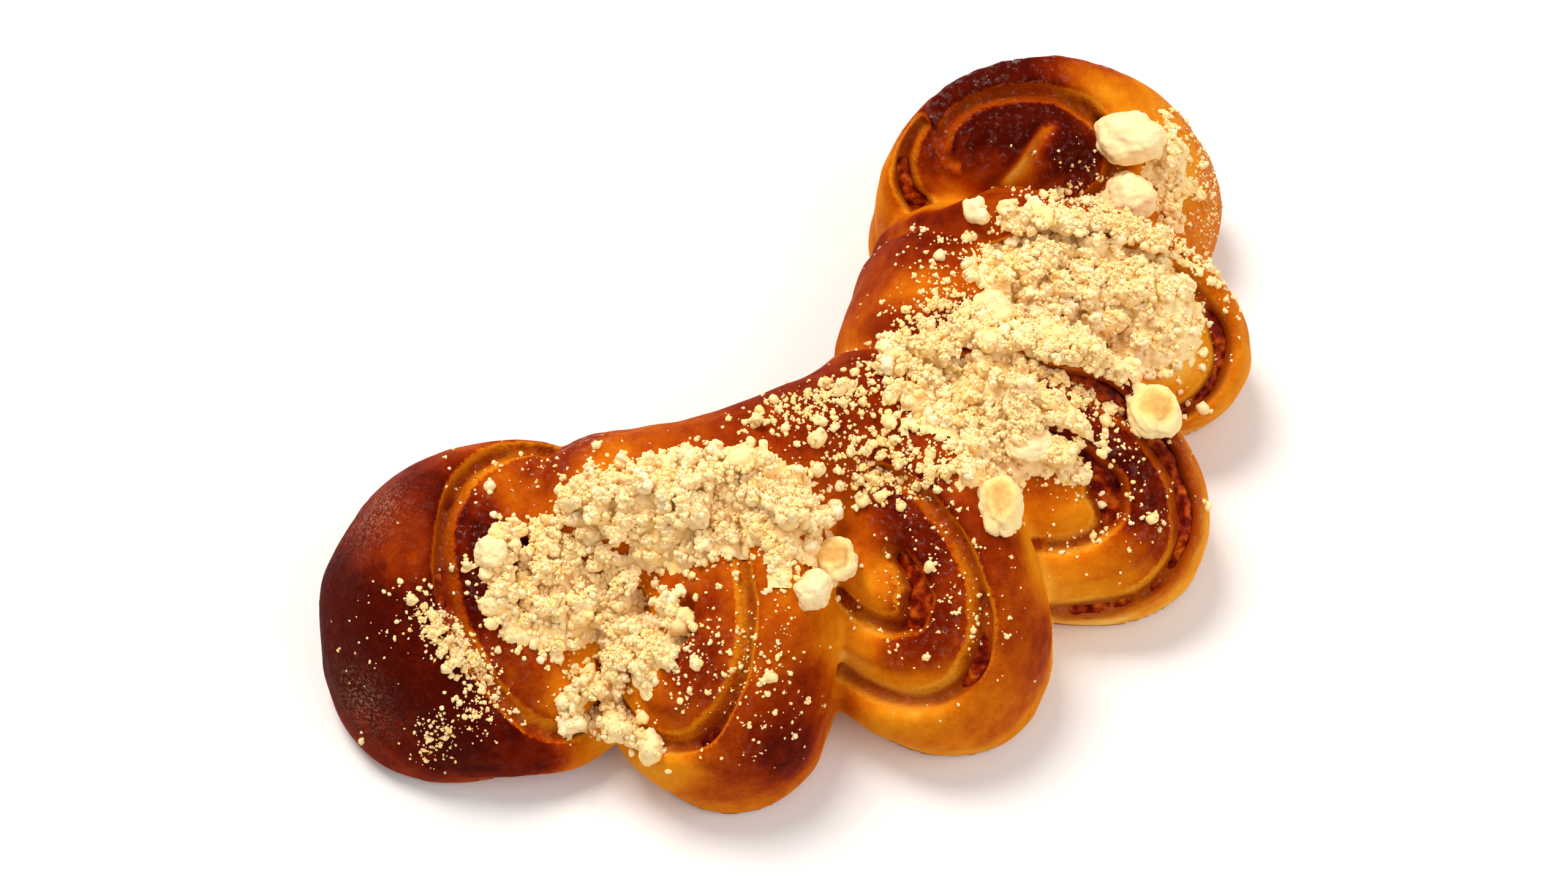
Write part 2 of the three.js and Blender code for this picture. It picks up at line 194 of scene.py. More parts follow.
def bend(bm, to):
    """Moves every vertex to where a function of its x, y and z puts it, and faces it outwards."""
    unbent = np.array([v.co for v in bm.verts])
    for vertex, point in zip(bm.verts, to(*unbent.T)):
        vertex.co = point
    bmesh.ops.remove_doubles(bm, verts=bm.verts, dist=1e-4)
    bmesh.ops.recalc_face_normals(bm, faces=bm.faces)


def into_scene(bm, name):
    """Makes an object of the mesh, which is used up."""
    mesh = bpy.data.meshes.new(name)
    bm.to_mesh(mesh)
    bm.free()
    thing = bpy.data.objects.new(name, mesh)
    bpy.context.scene.collection.objects.link(thing)
    return thing


def settle(thing):
    """Applies the object's modifiers to its mesh."""
    seen = thing.evaluated_get(bpy.context.evaluated_depsgraph_get())
    mesh = bpy.data.meshes.new_from_object(seen)
    thing.modifiers.clear()
    thing.data = mesh
    return thing


def combine(first, second, how):
    """Joins or cuts the first with the second, which is used up."""
    cut = first.modifiers.new("cut", "BOOLEAN")
    cut.object = second
    cut.operation = how
    cut.solver = "MANIFOLD"
    settle(first)
    bpy.data.objects.remove(second)
    return first


def puck(s, margin=0.0):
    """A slice without its folds: its profile spun round, then leaned and stood on the table."""
    bm = bmesh.new()
    levels = np.linspace(0, 1, 41)
    shares = curve_through(RIM, levels)[:, 0]
    line = [bm.verts.new((max(0, share), 0, level)) for share, level in zip(shares, levels)]
    edges = [bm.edges.new(pair) for pair in zip(line, line[1:])]
    bmesh.ops.spin(bm, geom=line + edges, axis=(0, 0, 1), cent=(0, 0, 0), angle=2 * pi,
                   steps=AROUND, use_merge=True)

    def lean(x, y, z):
        share, down, more = curve_through(RIM, z).T
        share = np.maximum(share, 0)
        down = np.clip(down, 0, 1)
        u, w = on_face(s, share * (1 + margin / LEAST_RADIUS), np.arctan2(y, x))
        top = puff(s, np.minimum(share, 1))
        return place(s, u, w, top * (1 - down) - more + margin, down)

    bend(bm, lean)
    return into_scene(bm, "puck")


def fold(s, turns):
    """The share of the radius and the angle of the fold at its turns."""
    return s["fold"][0] + s["fold"][1] * turns, 2 * pi * (0.5 - turns)


def fold_line(s, turns):
    """Along and across the face; towards the tip the fold of a slice may drift across it."""
    u, w = on_face(s, *fold(s, turns))
    return u, w + s["drift"] * (u / reach(s)) ** 2


def beside_fold(s, turns, off, depth):
    """The point off to the side of the fold, and depth up from the face."""
    u, w = fold_line(s, turns)
    before, after = fold_line(s, turns - 0.01), fold_line(s, turns + 0.01)
    du, dw = after[0] - before[0], after[1] - before[1]
    length = np.hypot(du, dw)
    return place(s, u + dw / length * off, w - du / length * off, puff(s, fold(s, turns)[0]) + depth)


def opening(letter, turns):
    """Half the opening of a fold at its turns, a little uneven, and the ease of its outer wall."""
    at, half, ease = np.array(OPEN[letter]).T
    uneven = 0.12 * np.sin(31 * turns) + 0.1 * np.sin(73 * turns + 1)
    return np.interp(turns, at, half) * (1 + 1.5 * uneven) + 0.5 * uneven, np.interp(turns, at, ease)


def bar(outline, steps):
    """A straight bar of the outline, from 0 to 1 along z."""
    bm = bmesh.new()
    face = bm.faces.new([bm.verts.new((x, y, 0)) for x, y in outline])
    bmesh.ops.spin(bm, geom=[face], axis=(0, 0, 1), cent=(0, 0, 0), dvec=(0, 0, 1 / steps), angle=0,
                   steps=steps)
    return bm


def curl(letter, half_outline, start, end, name, filling=False):
    """A bar of the half outline and its mirror image, bent along a stretch of a slice's fold. A
    filling runs a little into both walls, and lies deeper where the fold is shut."""
    s = SLICES[letter]
    outline = [(x + 0.01, y) for x, y in half_outline]
    outline += [(-x, y) for x, y in reversed(outline)]
    bm = bar(outline, max(2, round((end - start) * TURN)))

    def along(x, y, z):
        turns = start + (end - start) * z
        half, ease = opening(letter, turns)
        if filling:
            return beside_fold(s, turns, x + np.sign(x) * (half + 0.1), y - 0.9 * np.clip(1 - half, 0, 1))
        return beside_fold(s, turns, x * np.where(x < 0, ease, 1) + np.sign(x) * half, y)

    bend(bm, along)
    return into_scene(bm, name)


def groove(letter):
    """The open fold between the layers, in pieces because a long one runs into itself."""
    start, end = SLICES[letter]["turns"]
    count = int(np.ceil((end - start) / FOLD_PIECE))
    cuts = np.linspace(start, end, count + 1)
    whole = None
    for a, b in zip(cuts, cuts[1:]):
        piece = curl(letter, GROOVE, a, b + 0.004, "groove")
        whole = piece if whole is None else combine(whole, piece, "UNION")
    return whole


def back():
    """The uncut back of the roll: a round bar along its middle line, creased between slices."""
    bm = bar([(cos(a), sin(a)) for a in np.linspace(0, 2 * pi, 64, endpoint=False)], 120)

    def along(x, y, z):
        slant = sum(lean * np.exp(-((z - at) / SLANT_WIDE) ** 2) for at, lean in CREASES)
        fade = np.minimum(1, 4 * np.minimum(z, 1 - z))
        way = z + slant * fade * np.maximum(0, x)
        middle = curve_through([(p[0], p[1], 0) for p in BACK], way)
        ahead = curve_through([(p[0], p[1], 0) for p in BACK], way + 0.005)
        behind = curve_through([(p[0], p[1], 0) for p in BACK], way - 0.005)
        run = ahead - behind
        run /= np.linalg.norm(run, axis=1)[:, None]
        half, top = curve_through([p[2:] for p in BACK], way).T
        dip = sum(np.exp(-((z - at) / CREASE_WIDE) ** 2) for at, _ in CREASES)
        shrunk = 1 - CREASE_DEEP * dip
        high = (top + BACK_SINK) / 2
        off = x * half * shrunk * np.where(x < 0, BACK_LAP, 1)
        slope = np.where(y > 0, 1 - BACK_SLOPE * np.maximum(0, -x) ** 2, 1)
        up = (high - BACK_SINK + high * shrunk * y) * slope
        return middle + np.stack([-run[:, 1] * off, run[:, 0] * off, up], 1)

    bend(bm, along)
    return into_scene(bm, "back")


dough = back()
dough.name = "bun_dough"
for letter, s in SLICES.items():
    combine(dough, puck(s), "UNION")
    cut = combine(groove(letter), puck(s, LIP), "INTERSECT")
    combine(cut, back(), "DIFFERENCE")
    combine(dough, cut, "DIFFERENCE")

remesh = dough.modifiers.new("one skin", "REMESH")
remesh.mode = "VOXEL"
remesh.voxel_size = VOXEL
risen = dough.modifiers.new("risen", "SMOOTH")
risen.factor = 0.5
risen.iterations = 4
settle(dough)


def points_of(mesh):
    """The places of all vertices, one row each."""
    co = np.empty(len(mesh.vertices) * 3)
    mesh.vertices.foreach_get("co", co)
    return co.reshape(-1, 3)


def normals_of(mesh):
    n = np.empty(len(mesh.vertices) * 3)
    mesh.vertex_normals.foreach_get("vector", n)
    return n.reshape(-1, 3)


def set_points(mesh, points):
    mesh.vertices.foreach_set("co", points.astype(np.float32).ravel())
    mesh.update()


def noise_at(points, size, seed=0.0):
    """Smooth noise from -1 to 1 with bumps of that many millimetres."""
    return np.array([noise.noise(Vector((p[0] / size + seed, p[1] / size, p[2] / size))) for p in points])


# Rising has left broad soft waves in the skin, which fade out towards the table.
points = points_of(dough.data)
outward = normals_of(dough.data)
broad = noise_at(points, 16) * 0.9 + noise_at(points, 6, 7.0) * 0.35
points += outward * broad[:, None] * np.clip(points[:, 2:] / 4, 0, 1)

# The core of the sixth slice has risen round a tongue of dough that stayed lower and paler.
TONGUE = [(43.5, 36, 35.5), (46.5, 39, 39.5), (48.5, 41.5, 42), (51, 44.7, 43)]
tongue_line = curve_through(TONGUE, np.linspace(0, 1, 40))
off_tongue = np.sqrt(((points[:, None] - tongue_line[None]) ** 2).sum(2).min(1))
on_tongue = np.exp(-(off_tongue / 1.7) ** 2)
risen_core = np.exp(-((off_tongue - 5) / 2.6) ** 2) * (0.8 + 0.6 * noise_at(points, 3, 8.0))
points += outward * (risen_core - 1.6 * on_tongue)[:, None]

CLOSING = 0.12  # turns over which the inner end of a fold closes


def beyond_seams(points, depth):
    """How far points are from the nearest wall of a fold at a depth, further where its inner end
    closes, half the opening there and the ease of that wall."""
    line, inwards, openings = [], [], []
    for letter, s in SLICES.items():
        turns = np.linspace(*s["turns"], 400)
        here = beside_fold(s, turns, 0 * turns, 0 * turns + depth)
        line.append(here)
        inwards.append(beside_fold(s, turns, 0 * turns + 1, 0 * turns + depth) - here)
        closing = 1.5 * np.clip(1 - (turns - s["turns"][0]) / CLOSING, 0, 1)
        openings.append(np.stack([*opening(letter, turns), closing], 1))
    line, inwards, openings = (np.concatenate(rows) for rows in (line, inwards, openings))
    near = KDTree(len(line))
    for i, point in enumerate(line):
        near.insert(point, i)
    near.balance()
    found = [near.find(p)[1:] for p in points]
    i, away = np.array([f[0] for f in found]), np.array([f[1] for f in found])
    outer = ((points - line[i]) * inwards[i]).sum(1) < 0
    half = openings[i, 0]
    return away - half + openings[i, 2], half, np.where(outer, openings[i, 1], 1)


# Where the layers still touch they meet in a sharp crease.
from_seam, half, _ = beyond_seams(points, -1.5)
crease = np.exp(-(np.maximum(from_seam, 0) / 0.8) ** 2) * np.clip(1 - half / 0.5, 0, 1)
points -= outward * crease[:, None]
points[:, 2] = np.maximum(points[:, 2], 0)
points[(points[:, 2] < 0.9) & (outward[:, 2] < -0.5), 2] = 0
set_points(dough.data, points)

# How brown the bun is in places, from 0, raw and pale, to 1, nearly burnt: x, y, z, tone. On the left of
# the end slice's crust and of the fifth slice's back the tone is darker than the browning: painted shade.
TONES = {
    # Towards its left this crust is given darker than it browned: painted shade.
    "end slice, crust": [
        (-78, -49, 25, 1.05), (-73, -59, 21, 1.05), (-70, -50, 31, 1.0), (-68, -40, 36, 0.85),
        (-62, -30, 37, 0.88), (-55, -22, 35, 0.65), (-48, -19, 25, 0.6), (-61, -62, 26, 1.0),
        (-58, -69, 17, 1.0), (-46, -70, 13, 0.95), (-72, -67, 11, 0.9), (-65, -43, 36, 0.62)],
    "end slice, layers": [
        (-54, -37, 35, 1.15), (-58, -44, 31, 1.1), (-49, -31, 34, 0.5), (-42, -23, 33, 0.8),
        (-38, -24, 34, 0.76), (-44, -60, 21, 0.72), (-57, -39, 32, 0.7), (-37, -61, 16, 0.3),
        (-34, -30, 37, 0.4), (-40, -64, 3, 0.45)],
    "back": [
        (-22, -18, 36, 0.6), (-12, -17, 38, 0.72), (-5, -14, 37, 0.8), (5, -13, 40, 0.82),
        (12, -9, 40, 0.82), (19, -4, 40, 0.8)],
    "second slice, crust": [
        (-1, -59, 33, 0.62), (-3, -50, 36, 0.56), (4, -44, 34, 0.5), (2, -65, 26, 0.82),
        (1, -71, 19, 0.95), (-11, -77, 12, 0.72), (8, -62, 16, 0.66), (8, -50, 24, 0.42),
        (-20, -74, 15, 0.18), (-13, -79, 8, 0.5)],
    "second slice, layers": [
        (-12, -61, 29, 0.9), (-12, -56, 32, 0.72), (-7, -59, 27, 0.35), (-14, -68, 20, 0.66),
        (-20, -67, 14, 0.6), (-25, -56, 23, 0.45), (-28, -60, 10, 0.12)],
    "third slice, crust": [
        (36, -43, 36, 0.78), (40, -50, 30, 0.7), (38, -60, 23, 0.62), (36, -65, 18, 0.58),
        (24, -68, 14, 0.48), (18, -64, 14, 0.28), (44, -42, 27, 0.3), (45, -54, 21, 0.75),
        (33, -63, 21, 0.36), (23, -58, 5, 0.3)],
    "third slice, layers": [
        (19, -37, 34, 0.95), (24, -44, 33, 0.94), (28, -53, 29, 0.92), (21, -57, 24, 0.84),
        (14, -53, 18, 0.1), (14.5, -44, 28, 0.24), (14, -38, 30, 0.55), (23.5, -62, 17, 0.08),
        (32, -50, 29, 0.6)],
    "fourth slice, layers": [
        (59, -16, 32, 0.9), (64, -21, 30, 0.98), (66, -27, 26, 0.92), (68, -33, 21, 0.8),
        (60, -37, 19, 0.52), (53, -38, 20, 0.3), (46, -27, 29, 0.74), (50, -31, 27, 0.25),
        (41, -33, 28, 0.3)],
    "fourth slice, outer layer": [
        (75, -20, 24, 0.5), (79, -24, 18, 0.22), (77, -33, 14, 0.24), (66, -38, 13, 0.4),
        (59, -43, 10, 0.12), (51, -42, 9, 0.2), (70, -41, 9, 0.26)],
    "fourth slice, crest": [
        (34, -1, 42, 0.85), (27, -2, 40, 0.85), (20, -2, 39, 0.78)],
    # Its left end, at x 14, is given darker than it browned: painted shade.
    "fifth slice, back": [
        (18, 29, 24, 0.82), (14, 12, 31, 0.7), (19, 17, 38, 0.75), (30, 23, 40, 0.88),
        (37, 23, 42, 0.68), (25, 9, 42, 0.42), (38, 14, 37, 0.42), (12, 3, 31, 0.5),
        (26, 16, 41, 0.9), (21, 36, 26, 0.42)],
    "fifth slice, layers": [
        (55, 26, 41, 0.66), (71, 21, 37, 0.5), (84, 14, 27, 0.46), (86, 5, 20, 0.3),
        (70, 8, 29, 0.0)],
    "sixth slice, core": [
        (38, 39, 42, 0.95), (40, 43, 44, 1.15), (44, 48.5, 42.5, 1.1), (49, 50.5, 42, 1.1),
        (53.5, 50, 41, 1.05), (55, 45, 41, 1.1), (54, 40, 40, 0.95), (44, 43, 43, 1.1),
        (38, 36.5, 38, 0.55), (44, 37, 36, 0.55), (35.9, 40.2, 40.8, 1.0)],
    "sixth slice, layers": [
        (27, 41, 31, 0.75), (31, 50, 33, 1.0), (34, 53, 40, 1.1), (42, 56, 43, 1.0),
        (53, 59, 44, 0.95), (29.6, 44.2, 38.2, 1.1), (31, 42, 37, 0.95), (35, 50, 43, 1.1),
        (62, 60, 40, 0.85), (55, 55, 41, 0.2), (61, 55, 40, 0.12), (31, 36, 34, 0.2),
        (70, 57, 36, 0.35), (77, 48, 29, 0.15)],
    "sixth slice, outer layer": [
        (18, 42, 25, 0.3), (20, 45, 30, 0.26), (25, 50, 36, 0.32), (33, 57, 36, 0.5),
        (80, 53, 28, 0.5), (85, 48, 21, 0.46), (85, 41, 17, 0.42)],
}
TONE_SPREAD = 3.9  # how far the tone of a place reaches
FAR_SPREAD = 12  # how far a hundredth of it reaches, which fills in between
tones = np.array([one for places in TONES.values() for one in places])
off_tones = ((points[:, None, :] - tones[None, :, :3]) ** 2).sum(2)
weight = np.exp(-off_tones / (2 * TONE_SPREAD ** 2))
weight += 0.01 * np.exp(-off_tones / (2 * FAR_SPREAD ** 2))
tone = (weight * tones[:, 3]).sum(1) / weight.sum(1)

# The egg wash lies thickest on the inner layers, where it has blistered.
is_inner = np.array([("layers" in name or "core" in name)
                     for name, places in TONES.items() for _ in places])
blistered = (weight * is_inner).sum(1) / weight.sum(1) * np.clip((tone - 0.5) / 0.3, 0, 1)

# A much smoother copy of the skin shows where it is hollow.
eased = dough.copy()
eased.data = dough.data.copy()
bpy.context.scene.collection.objects.link(eased)
easing = eased.modifiers.new("easing", "SMOOTH")
easing.factor = 0.5
easing.iterations = 24
settle(eased)
outward = normals_of(dough.data)
eased_points, eased_normals = points_of(eased.data), normals_of(eased.data)
hollow = ((eased_points - points) * outward).sum(1)
bpy.data.objects.remove(eased)

# The skin is pale on the tongue, in hollows, along the folds, where the layers rose apart in the
# oven, and near the table. The underside has baked evenly.
PALE_BELOW = 9  # height under which the sides stay pale
UNDERSIDE_TONE = 0.62
tone -= 0.5 * on_tongue
browning_and_painted_shade = tone - 0.2 * np.clip(hollow, -0.7, 1)
browning_and_painted_shade += 0.05 * noise_at(points, 5, 3.0) + 0.06 * noise_at(points, 2.2, 9.0)
near_table = np.clip(1 - points[:, 2] / PALE_BELOW, 0, 1)
browning_and_painted_shade -= 0.2 * near_table * (outward[:, 2] > -0.5)
browning_and_painted_shade = np.where(outward[:, 2] < -0.6, UNDERSIDE_TONE, browning_and_painted_shade)

# Jam has stained the walls of the folds above it.
from_jam, _, ease = beyond_seams(points, -4)
stain = np.exp(-(np.maximum(from_jam - 0.6, 0) / (0.9 * ease)) ** 2)

# Flour that stuck to the crust: x, y, z, radius, strength.
FLOUR = [(-71, -34, 33, 6, 0.35), (-74, -62, 16, 6, 0.25), (84, 50, 20, 8, 0.6),
         (78, 57, 28, 6, 0.5), (86, 38, 18, 6, 0.5)]
dusty = np.zeros(len(points))
for x, y, z, radius, strength in FLOUR:
    off_middle = ((points - (x, y, z)) ** 2).sum(1)
    dusty = np.maximum(dusty, strength * np.exp(-off_middle / radius ** 2))


def keep(mesh, name, values):
    """Keeps a value for each vertex, for a material to read."""
    mesh.attributes.new(name, "FLOAT", "POINT").data.foreach_set("value", values.astype(np.float32))


# What is kept for the crust is its browning, with the painted shade of the tones in it.
keep(dough.data, "browning_and_painted_shade", np.clip(browning_and_painted_shade, 0, 1))
keep(dough.data, "stain", stain)
keep(dough.data, "from_seam", np.clip(from_seam, -1, 4))
keep(dough.data, "flour", dusty)
keep(dough.data, "blistered", blistered)
set_points(dough.data, points + outward * (0.3 * blistered * noise_at(points, 2.4, 5.0))[:, None])


def into_frame(thing):
    """From millimetres in the layout to metres in the part's frame, kept inside the part's box."""
    points = (points_of(thing.data) - MIDDLE) * MM
    low, high = (np.array(corner) for corner in cad_box)
    set_points(thing.data, np.clip(points, low, high))
    thing.data.polygons.foreach_set("use_smooth", [True] * len(thing.data.polygons))
    return thing


def colour(hexcode):
    """An sRGB hex colour as linear red, green, blue and alpha."""
    parts = [int(hexcode[i:i + 2], 16) / 255 for i in (1, 3, 5)]
    return [c / 12.92 if c <= 0.04045 else ((c + 0.055) / 1.055) ** 2.4 for c in parts] + [1]


def node(material, kind, inputs=(), **settings):
    """Adds a node. An input is a socket's name or number with a value or another node's output."""
    made = material.node_tree.nodes.new(kind)
    for name, value in settings.items():
        setattr(made, name, value)
    for socket, value in dict(inputs).items():
        if isinstance(value, bpy.types.NodeSocket):
            material.node_tree.links.new(value, made.inputs[socket])
        else:
            made.inputs[socket].default_value = value
    return made


def ramp(material, value, stops):
    """A colour that follows a value through stops of position and hex colour."""
    made = node(material, "ShaderNodeValToRGB", {0: value})
    elements = made.color_ramp.elements
    elements.remove(elements[1])
    elements[0].position = stops[0][0]
    elements[0].color = colour(stops[0][1])
    for at, code in stops[1:]:
        elements.new(at).color = colour(code)
    return made.outputs[0]


def blank(name):
    """A new material with one principled shader, and that shader."""
    material = bpy.data.materials.new(name)
    material.use_nodes = True
    return material, material.node_tree.nodes["Principled BSDF"]


# Egg-washed yeast dough: the brown is the wash and the sugars in the skin, and on the left sides of some
# slices also painted shade; the gloss is a thin film of egg over a slightly wrinkled skin. The mottling is
# 4 mm, the specks are 0.8 mm wide, and where the skin tore open along a fold it is paler, with a ragged
# edge. Deeper in a fold it is darker: painted shade of the crease.
crust, skin = blank("egg washed yeast dough")
spot = node(crust, "ShaderNodeTexCoord").outputs["Object"]
browning_and_painted_shade_in = node(crust, "ShaderNodeAttribute", attribute_name="browning_and_painted_shade").outputs["Fac"]
stain_in = node(crust, "ShaderNodeAttribute", attribute_name="stain").outputs["Fac"]
mottle = node(crust, "ShaderNodeTexNoise",
              {"Vector": spot, "Scale": 1 / (4 * MM), "Detail": 6, "Roughness": 0.65})
speck = node(crust, "ShaderNodeTexNoise",
             {"Vector": spot, "Scale": 1 / (0.8 * MM), "Detail": 4, "Roughness": 0.7})
uneven = node(crust, "ShaderNodeMath", {0: mottle.outputs["Fac"], 1: 0.26, 2: browning_and_painted_shade_in},
              operation="MULTIPLY_ADD")
fine = node(crust, "ShaderNodeMath", {0: speck.outputs["Fac"], 1: 0.2, 2: uneven.outputs[0]},
            operation="MULTIPLY_ADD")
level = node(crust, "ShaderNodeMath", {0: fine.outputs[0], 1: 0.23}, operation="SUBTRACT")
seam_in = node(crust, "ShaderNodeAttribute", attribute_name="from_seam").outputs["Fac"]
ragged = node(crust, "ShaderNodeMath", {0: speck.outputs["Fac"], 1: 1.6, 2: seam_in},
              operation="MULTIPLY_ADD")
blistered_in = node(crust, "ShaderNodeAttribute", attribute_name="blistered").outputs["Fac"]
tender = node(crust, "ShaderNodeMapRange", {0: blistered_in, 1: 0.0, 2: 1.0, 3: 0.75, 4: 0.42})
torn = node(crust, "ShaderNodeMapRange",
            {0: ragged.outputs[0], 1: 3.0, 2: 2.3, 3: 0.0, 4: tender.outputs[0]})
lighter = node(crust, "ShaderNodeMix", {0: torn.outputs[0], 2: level.outputs[0], 3: 0.16})
# Painted shade: deeper in a fold the skin is darkened, for the shade in the crease.
inside = node(crust, "ShaderNodeMapRange", {0: ragged.outputs[0], 1: 2.2, 2: 1.5, 3: 0.0, 4: 0.85})
with_fold_shade = node(crust, "ShaderNodeMix", {0: inside.outputs[0], 2: lighter.outputs[0], 3: 0.72})
browned_with_painted_shade = ramp(crust, with_fold_shade.outputs[0], [
    (0.0, "#fccd6c"), (0.15, "#f4aa3a"), (0.3, "#e68e14"), (0.45, "#d37008"), (0.6, "#b54e03"),
    (0.75, "#902c01"), (0.88, "#6c1600"), (1.0, "#480800")])
stained = node(crust, "ShaderNodeMath", {0: stain_in, 1: 0.85}, operation="MULTIPLY")
tinted = node(crust, "ShaderNodeMix", {0: stained.outputs[0], 6: browned_with_painted_shade, 7: colour("#933006")},
              data_type="RGBA")
powder = node(crust, "ShaderNodeTexNoise",
              {"Vector": spot, "Scale": 1 / (0.6 * MM), "Detail": 5, "Roughness": 0.75})
settled = node(crust, "ShaderNodeMapRange", {0: powder.outputs["Fac"], 1: 0.5, 2: 0.62, 3: 0.0, 4: 1.0})
flour_in = node(crust, "ShaderNodeAttribute", attribute_name="flour").outputs["Fac"]
floured = node(crust, "ShaderNodeMath", {0: settled.outputs[0], 1: flour_in}, operation="MULTIPLY")
skin_colour = node(crust, "ShaderNodeMix",
                   {0: floured.outputs[0], 6: tinted.outputs[2], 7: colour("#f0cfae")},
                   data_type="RGBA")
wrinkle = node(crust, "ShaderNodeTexNoise",
               {"Vector": spot, "Scale": 1 / (1.5 * MM), "Detail": 8, "Roughness": 0.72})
bump = node(crust, "ShaderNodeBump",
            {"Height": wrinkle.outputs["Fac"], "Strength": 0.45, "Distance": 0.5 * MM})
sharp = node(crust, "ShaderNodeMapRange", {0: ragged.outputs[0], 1: 0.8, 2: 2.4, 3: 0.0, 4: 1.0})
edge = node(crust, "ShaderNodeBump",
            {"Height": sharp.outputs[0], "Strength": 0.8, "Distance": 0.8 * MM,
             "Normal": bump.outputs[0]})
blister = node(crust, "ShaderNodeTexNoise",
               {"Vector": spot, "Scale": 1 / (1.1 * MM), "Detail": 2, "Roughness": 0.5})
glaze_bump = node(crust, "ShaderNodeBump",
                  {"Height": blister.outputs["Fac"], "Strength": 1.0, "Distance": 1.1 * MM})
sticky = node(crust, "ShaderNodeMath", {0: stain_in, 1: 0.5, 2: 0.04}, operation="MULTIPLY_ADD")
thick_wash = node(crust, "ShaderNodeMath", {0: blistered_in, 1: 0.6, 2: sticky.outputs[0]},
                  operation="MULTIPLY_ADD")
bubbles = node(crust, "ShaderNodeTexNoise",
               {"Vector": spot, "Scale": 1 / (1.3 * MM), "Detail": 2, "Roughness": 0.6})
shining = node(crust, "ShaderNodeMapRange", {0: bubbles.outputs["Fac"], 1: 0.52, 2: 0.62, 3: 0.0, 4: 1.0})
washed = node(crust, "ShaderNodeMath", {0: shining.outputs[0], 1: thick_wash.outputs[0]},
              operation="MULTIPLY")
for socket, value in {"Base Color": skin_colour.outputs[2], "Normal": edge.outputs[0],
                      "Coat Weight": washed.outputs[0], "Coat Normal": glaze_bump.outputs[0]}.items():
    crust.node_tree.links.new(value, skin.inputs[socket])
skin.inputs["Roughness"].default_value = 0.65
skin.inputs["Specular IOR Level"].default_value = 0.02
skin.inputs["Subsurface Weight"].default_value = 0.12
skin.inputs["Subsurface Radius"].default_value = (1.0, 0.45, 0.2)
skin.inputs["Subsurface Scale"].default_value = 1.5 * MM
skin.inputs["Coat Roughness"].default_value = 0.1
dough.data.materials.clear()
dough.data.materials.append(crust)

dough_tree = BVHTree.FromPolygons([Vector(p) for p in points_of(dough.data)],
                                  [tuple(f.vertices) for f in dough.data.polygons])
skin_points = points_of(dough.data)
bare = dough.data.copy()
into_frame(dough)
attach(dough, "root")
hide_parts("dough")


# ==== The jam ==============================================================================
# Red fruit jam, spread on the dough before it was rolled: a thin sheet that runs through every
# slice and shows at the bottom of the open folds, where it has boiled up and set glossy.
RIBBON = [(0, -4.1), (0.25, -4.2), (0.4, -4.6), (0.5, -8.6)]  # half outline, down from the face

# Red fruit jam that has boiled and set: dark and nearly opaque where it is thick, orange where a
# thin film of it catches the light, with lumps of fruit 2 mm wide.
cooked, glaze = blank("baked red fruit jam")
spot = node(cooked, "ShaderNodeTexCoord").outputs["Object"]
fruit = node(cooked, "ShaderNodeTexNoise", {"Vector": spot, "Scale": 1 / (2.0 * MM), "Detail": 4})
red = ramp(cooked, fruit.outputs["Fac"], [
    (0.3, "#400600"), (0.46, "#7a1602"), (0.58, "#b04006"), (0.72, "#d46e14")])
wet = node(cooked, "ShaderNodeBump",
           {"Height": fruit.outputs["Fac"], "Strength": 0.9, "Distance": 1.0 * MM})
cooked.node_tree.links.new(red, glaze.inputs["Base Color"])
cooked.node_tree.links.new(wet.outputs[0], glaze.inputs["Normal"])
glaze.inputs["Roughness"].default_value = 0.45
glaze.inputs["Specular IOR Level"].default_value = 0.02
glaze.inputs["Coat Weight"].default_value = 0.06
glaze.inputs["Coat Roughness"].default_value = 0.1
glaze.inputs["Subsurface Weight"].default_value = 0.15
glaze.inputs["Subsurface Scale"].default_value = 1.0 * MM

for number, (letter, s) in enumerate(SLICES.items()):
    start, end = s["turns"]
    ribbon = curl(letter, RIBBON, start + 0.03, end - 0.03, f"bun_jam_{letter}", filling=True)
    points = points_of(ribbon.data)
    lift = noise_at(points, 5, number) * 0.9 + noise_at(points, 2, number) * 0.3
    points[:, 2] += np.where(points[:, 2] > 4, lift, 0)
    set_points(ribbon.data, points)
    ribbon.data.materials.append(cooked)
    into_frame(ribbon)
    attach(ribbon, "root")
    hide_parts(*[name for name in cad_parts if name.startswith(f"jam_{letter}_")])


